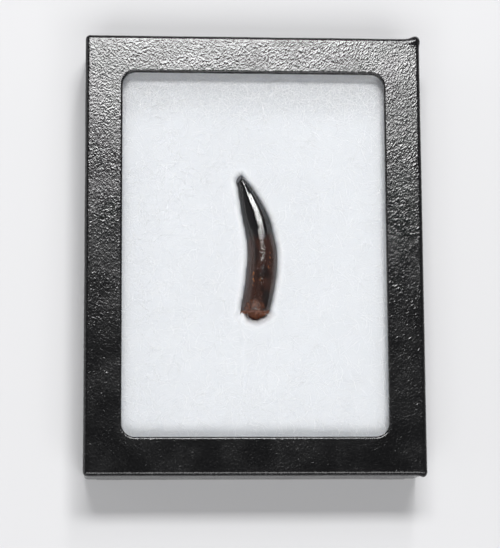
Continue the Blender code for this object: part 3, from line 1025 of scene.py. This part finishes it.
def closed_pad(x, y, top, bottom):
    """Points and faces of a pad between two grids, with soft uneven sides."""
    rows, columns = x.shape
    count = rows * columns
    upper = np.stack([x, y, top], axis=-1).reshape(-1, 3)
    under = np.stack([x, y, bottom], axis=-1).reshape(-1, 3)
    index = np.arange(count).reshape(rows, columns)
    loop = np.concatenate([index[0, :-1], index[:-1, -1], index[-1, :0:-1], index[:0:-1, 0]])
    rings, points = [loop], [upper, under]
    for level in range(1, SIDE_LEVELS):
        share = level / SIDE_LEVELS
        ring = upper[loop] + (under[loop] - upper[loop]) * share
        inward = unit(ring * np.array([1.0, 1.0, 0.0]))
        give = SIDE_ROUGHNESS * rough_at(ring, 3.0 * MM)[:, None] * (4 * share * (1 - share))
        ring = ring - inward * give
        ring[:, :2] = np.clip(ring[:, :2], PAD_LOW[:2], PAD_HIGH[:2])
        points.append(ring)
        rings.append(2 * count + (level - 1) * len(loop) + np.arange(len(loop)))
    rings.append(loop + count)
    faces = [grid_faces(rows, columns, False, False), grid_faces(rows, columns, False, False, count)[:, ::-1]]
    for above, below in zip(rings, rings[1:]):
        faces.append(np.stack([above, below, np.roll(below, -1), np.roll(above, -1)], axis=1))
    return np.concatenate(points), np.concatenate(faces)


class DISPLAYCASE_OT_batting_pad(bpy.types.Operator):
    """Make the white pad that fills the tray and takes the tooth's shape"""

    bl_idname = "display_case.batting_pad"
    bl_label = "Batting Pad"

    def execute(self, context):
        batting = context.scene.display_case.batting
        xs = spaced(PAD_LOW[0], PAD_HIGH[0], batting.step)
        ys = spaced(PAD_LOW[1], PAD_HIGH[1], batting.step)
        x, y = np.meshgrid(xs, ys)
        top, away = pad_top(x, y, batting)
        rim = smooth_step(np.abs(x), xs[-1], xs[-1] - RIM_WIDTH)
        rim = rim * smooth_step(np.abs(y), ys[-1], ys[-1] - RIM_WIDTH)
        bottom = PAD_LOW[OUT] + RIM_LIFT * (1 - rim) ** 2
        points, faces = closed_pad(x, y, top - RIM_FALL * (1 - rim), bottom)
        along = points[:, 1]
        # Painted shade: 'thin' marks the band below the upper edge that is painted greyer
        thin = smooth_step(along, PAINTED_SHADE_START, PAINTED_SHADE_FULL) * smooth_step(along, PAINTED_SHADE_END, PAINTED_SHADE_FULL)
        # Painted light: whiter beside the tooth and at the upper edge, where shade falls
        painted_light = np.zeros(len(points))
        painted_light[: x.size] = np.maximum(
            PAINTED_LIGHT_BESIDE * smooth_step(away, PAINTED_LIGHT_REACH, 0.0), smooth_step(y, PAINTED_LIGHT_START, PAINTED_LIGHT_FULL)
        ).ravel()
        material = white_batting(batting)
        layers = {"thin": thin, "painted_light": painted_light}
        piece = piece_of("batting_pad", points, faces.tolist(), material, "white_batting", **layers)
        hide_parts("batting")
        return {"FINISHED"}


def fibre_tree(material, batting):
    """Nodes that scatter curved fibres over a mesh by its fuzz attribute, with their inputs' values."""
    tree = bpy.data.node_groups.new("scattered fibres", "GeometryNodeTree")
    names = {}
    for name, kind in FIBRE_INPUTS.items():
        socket = tree.interface.new_socket(name, in_out="INPUT", socket_type="NodeSocket" + kind)
        names[name] = socket.identifier
    tree.interface.new_socket("Geometry", in_out="OUTPUT", socket_type="NodeSocketGeometry")

    def add(kind, sockets, output=0, **settings):
        return add_node(tree, kind, sockets, **settings).outputs[output]

    entry = add_node(tree, "NodeGroupInput").outputs
    seed = entry["Seed"]
    fuzz = add("GeometryNodeInputNamedAttribute", {"Name": "fuzz"}, data_type="FLOAT")
    local = add("ShaderNodeMath", {0: entry["Density"], 1: fuzz}, operation="MULTIPLY")
    scatter = {"Mesh": entry["Geometry"], "Density": local, "Seed": seed}
    points = add("GeometryNodeDistributePointsOnFaces", scatter, distribute_method="RANDOM")
    radius = add("ShaderNodeMath", {0: entry["Thickness"], 1: 0.5}, operation="MULTIPLY")
    profile = add("GeometryNodeCurvePrimitiveCircle", {"Resolution": 3, "Radius": radius})
    shapes = add_node(tree, "GeometryNodeJoinGeometry")
    for bend, rise, half_length in STRANDS:
        places = (-half_length, 0.0, -0.01), (0.04, bend, rise), (half_length, 0.02, -0.02)
        bent = {"Resolution": 5}
        for end, place in zip(("Start", "Middle", "End"), places):
            bent[end] = add("ShaderNodeVectorMath", {0: place, 3: entry["Length"]}, operation="SCALE")
        curve = add("GeometryNodeCurveQuadraticBezier", bent)
        strand = add("GeometryNodeCurveToMesh", {"Curve": curve, "Profile Curve": profile, "Fill Caps": True})
        tree.links.new(add("GeometryNodeGeometryToInstance", {0: strand}), shapes.inputs[0])
    turns = {0: (-0.10, -0.05, 0.0), 1: (0.10, 0.05, 2 * math.pi), "Seed": seed}
    spin = add("FunctionNodeRandomValue", turns, data_type="FLOAT_VECTOR")
    size = add("FunctionNodeRandomValue", {2: 0.65, 3: 1.3, "Seed": seed}, output=1, data_type="FLOAT")
    turn = add("FunctionNodeEulerToRotation", {0: spin})
    spread = {"Points": points, "Instance": shapes.outputs[0], "Pick Instance": True}
    scattered = add("GeometryNodeInstanceOnPoints", spread | {"Rotation": turn, "Scale": size})
    real = add("GeometryNodeRealizeInstances", {0: scattered})
    smooth = add("GeometryNodeSetShadeSmooth", {0: real})
    finished = add("GeometryNodeSetMaterial", {0: smooth, "Material": material})
    add_node(tree, "NodeGroupOutput", {0: finished})
    values = {
        names["Length"]: batting.fibre_length,
        names["Thickness"]: batting.fibre_thickness,
        names["Density"]: batting.fibres_per_mm2 / MM**2,
    }
    return tree, values, names["Seed"]


class DISPLAYCASE_OT_batting_fibres(bpy.types.Operator):
    """Scatter loose fibres over the pad, in strips down the case"""

    bl_idname = "display_case.batting_fibres"
    bl_label = "Batting Fibres"

    def execute(self, context):
        settings = context.scene.display_case
        batting = settings.batting
        tree, values, seed = fibre_tree(fibres_painted_whiter(), batting)
        shown = np.array([settings.lid.window_width, settings.lid.window_length]) / 2 + FIBRE_MARGIN
        cuts = np.linspace(shown[1], -shown[1], FIBRE_STRIPS + 1)
        for strip, (high, low) in enumerate(zip(cuts, cuts[1:])):
            x, y = np.meshgrid(spaced(-shown[0], shown[0], batting.step), spaced(low, high, batting.step))
            top, away = pad_top(x, y, batting)
            points = np.stack([x, y, top + 0.3 * batting.fuzz], axis=-1).reshape(-1, 3)
            mesh = bpy.data.meshes.new("fibre ground")
            mesh.from_pydata(points, [], grid_faces(*x.shape, False, False).tolist())
            layer = mesh.attributes.new("fuzz", "FLOAT", "POINT")
            upper = smooth_step(y, *(shown[1] - reach for reach in UPPER_ZONE))
            fuzz = smooth_step(away, *TOOTH_CLEARANCE) * (SPARSE_SHARE + (1 - SPARSE_SHARE) * upper)
            layer.data.foreach_set("value", fuzz.astype(np.float32).ravel())
            ground = bpy.data.objects.new("fibre ground", mesh)
            context.scene.collection.objects.link(ground)
            modifier = ground.modifiers.new("fibres", "NODES")
            modifier.node_group = tree
            for identifier, value in values.items():
                modifier[identifier] = value
            modifier[seed] = batting.seed + strip
            graph = context.evaluated_depsgraph_get()
            fibres = bpy.data.meshes.new_from_object(ground.evaluated_get(graph))
            bpy.data.objects.remove(ground, do_unlink=True)
            name = f"batting_fibres_{strip + 1}"
            fibres.name = name
            piece = bpy.data.objects.new(name, fibres)
            context.scene.collection.objects.link(piece)
            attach(piece, BODY)
        return {"FINISHED"}


def soft_light(name, power, size, place, target):
    """A rectangular soft box that looks at a target point."""
    light = bpy.data.lights.new(name, "AREA")
    light.shape = "RECTANGLE"
    light.size, light.size_y = size
    light.energy = power
    lamp = bpy.data.objects.new(name, light)
    bpy.context.scene.collection.objects.link(lamp)
    lamp.location = place
    lamp.rotation_euler = (Vector(target) - Vector(place)).to_track_quat("-Z", "Y").to_euler()


def dim_room(brightness):
    """A room that is dark straight above and paler towards the horizon."""
    world = bpy.data.worlds.new("dim room")
    bpy.context.scene.world = world
    world.use_nodes = True
    tree = world.node_tree
    upward = add_node(tree, "ShaderNodeTexCoord").outputs["Generated"]
    height = add_node(tree, "ShaderNodeSeparateXYZ", {0: upward}).outputs["Z"]
    stops = {0: height, 1: ROOM_DARK, 2: ROOM_PALE, 3: ROOM_OVERHEAD, 4: brightness}
    ramp = add_node(tree, "ShaderNodeMapRange", stops, interpolation_type="SMOOTHSTEP")
    background = tree.nodes["Background"]
    background.inputs["Color"].default_value = (1.0, 1.0, 1.02, 1.0)
    tree.links.new(ramp.outputs[0], background.inputs["Strength"])


def photo_camera():
    """A camera that stands and looks as the photograph's did."""
    forward = Vector(CAMERA_FORWARD).normalized()
    right = forward.cross(Vector(CAMERA_UP)).normalized()
    up = right.cross(forward)
    camera = bpy.data.cameras.new("camera")
    camera.sensor_width = SENSOR
    camera.lens = FOCAL_PIXELS * SENSOR / PHOTO_LONG_SIDE
    eye = bpy.data.objects.new("camera", camera)
    bpy.context.scene.collection.objects.link(eye)
    turn = Matrix((right, up, -forward)).transposed().to_4x4()
    eye.matrix_world = Matrix.Translation(CAMERA_PLACE) @ turn
    bpy.context.scene.camera = eye


class DISPLAYCASE_OT_stage(bpy.types.Operator):
    """Set the pale floor, the lights and the camera"""

    bl_idname = "display_case.stage"
    bl_label = "Stage"

    def execute(self, context):
        stage = context.scene.display_case.stage
        bpy.ops.mesh.primitive_plane_add(size=FLOOR_SIZE, location=(0, 0, -FLOOR_GAP))
        floor = context.object
        floor.name = "floor"
        floor.data.materials.append(plain_floor(stage))
        target = (0.0, 0.0, LID_HIGH[OUT])
        key_up = stage.key_distance * math.sin(stage.key_tilt)
        key_out = stage.key_distance * math.cos(stage.key_tilt)
        key_size = (stage.key_width, stage.key_height)
        soft_light("key", stage.key_power, key_size, (KEY_RIGHT, key_up, key_out), target)
        soft_light("upper", stage.upper_power, UPPER_SIZE, UPPER_PLACE, target)
        soft_light("side", stage.side_power, SIDE_SIZE, SIDE_PLACE, target)
        soft_light("front", stage.front_power, FRONT_SIZE, FRONT_PLACE, target)
        dim_room(stage.sky)
        photo_camera()
        context.scene.view_settings.view_transform = "Standard"
        return {"FINISHED"}


PIECES = (
    DISPLAYCASE_OT_covered_lid,
    DISPLAYCASE_OT_tray_and_pane,
    DISPLAYCASE_OT_fossil_tooth,
    DISPLAYCASE_OT_batting_pad,
    DISPLAYCASE_OT_batting_fibres,
    DISPLAYCASE_OT_stage,
)


class DISPLAYCASE_PT_sidebar(bpy.types.Panel):
    """Lists the display case's pieces"""

    bl_idname = "DISPLAYCASE_PT_sidebar"
    bl_label = "Display Case"
    bl_space_type = "VIEW_3D"
    bl_region_type = "UI"
    bl_category = "Display Case"

    def draw(self, context):
        for operator in PIECES:
            self.layout.operator(operator.bl_idname)


CLASSES = (
    LidSizes,
    PaperFinish,
    BattingSizes,
    ToothFinish,
    StageSettings,
    DisplayCaseSettings,
    *PIECES,
    DISPLAYCASE_PT_sidebar,
)


def register():
    for part in CLASSES:
        bpy.utils.register_class(part)
    bpy.types.Scene.display_case = PointerProperty(type=DisplayCaseSettings)


def unregister():
    del bpy.types.Scene.display_case
    for part in reversed(CLASSES):
        bpy.utils.unregister_class(part)


def main():
    register()
    for operator in PIECES:
        getattr(bpy.ops.display_case, operator.bl_idname.split(".")[1])()


if __name__ == "__main__":
    main()
